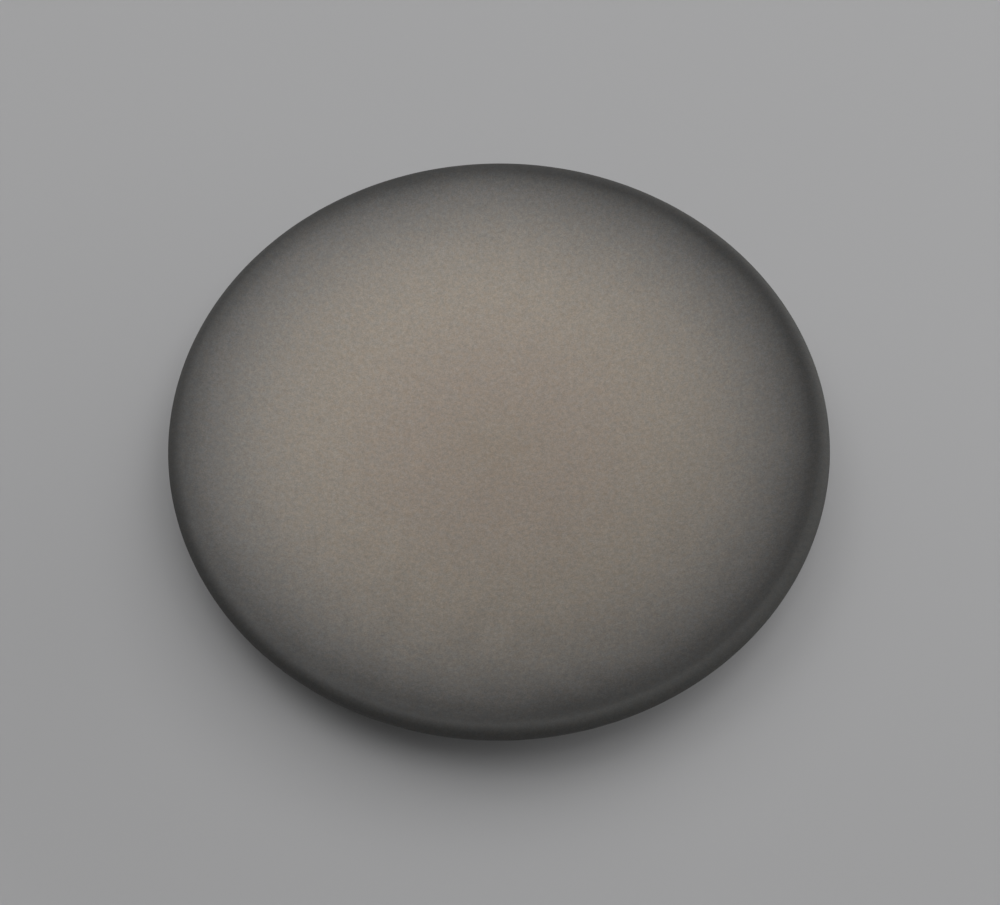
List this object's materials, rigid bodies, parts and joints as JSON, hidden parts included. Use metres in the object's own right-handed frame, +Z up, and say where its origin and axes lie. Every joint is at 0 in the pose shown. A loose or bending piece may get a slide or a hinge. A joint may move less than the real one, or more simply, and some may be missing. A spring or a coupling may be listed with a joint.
{
  "type": "watch glass",
  "caption": "Shallow round watch glass, lying hollow side up, with a full-round rim and an opaque satin film over its hollow face.",
  "frame": {"origin": "centre of the small ground spot under the bowl, on the table plane", "axes": "+Z up along the axis of the bowl, out of its hollow"},
  "size_m": [0.08, 0.08, 0.0102],
  "materials": {
    "glass": "clear, fire-polished rim, small ground spot below",
    "film": "satin mineral film, tan in the middle and dark grey towards the rim"
  },
  "bodies": {
    "root": {"glass_shell": "glass", "satin_film": "film"}
  },
  "joints": []
}
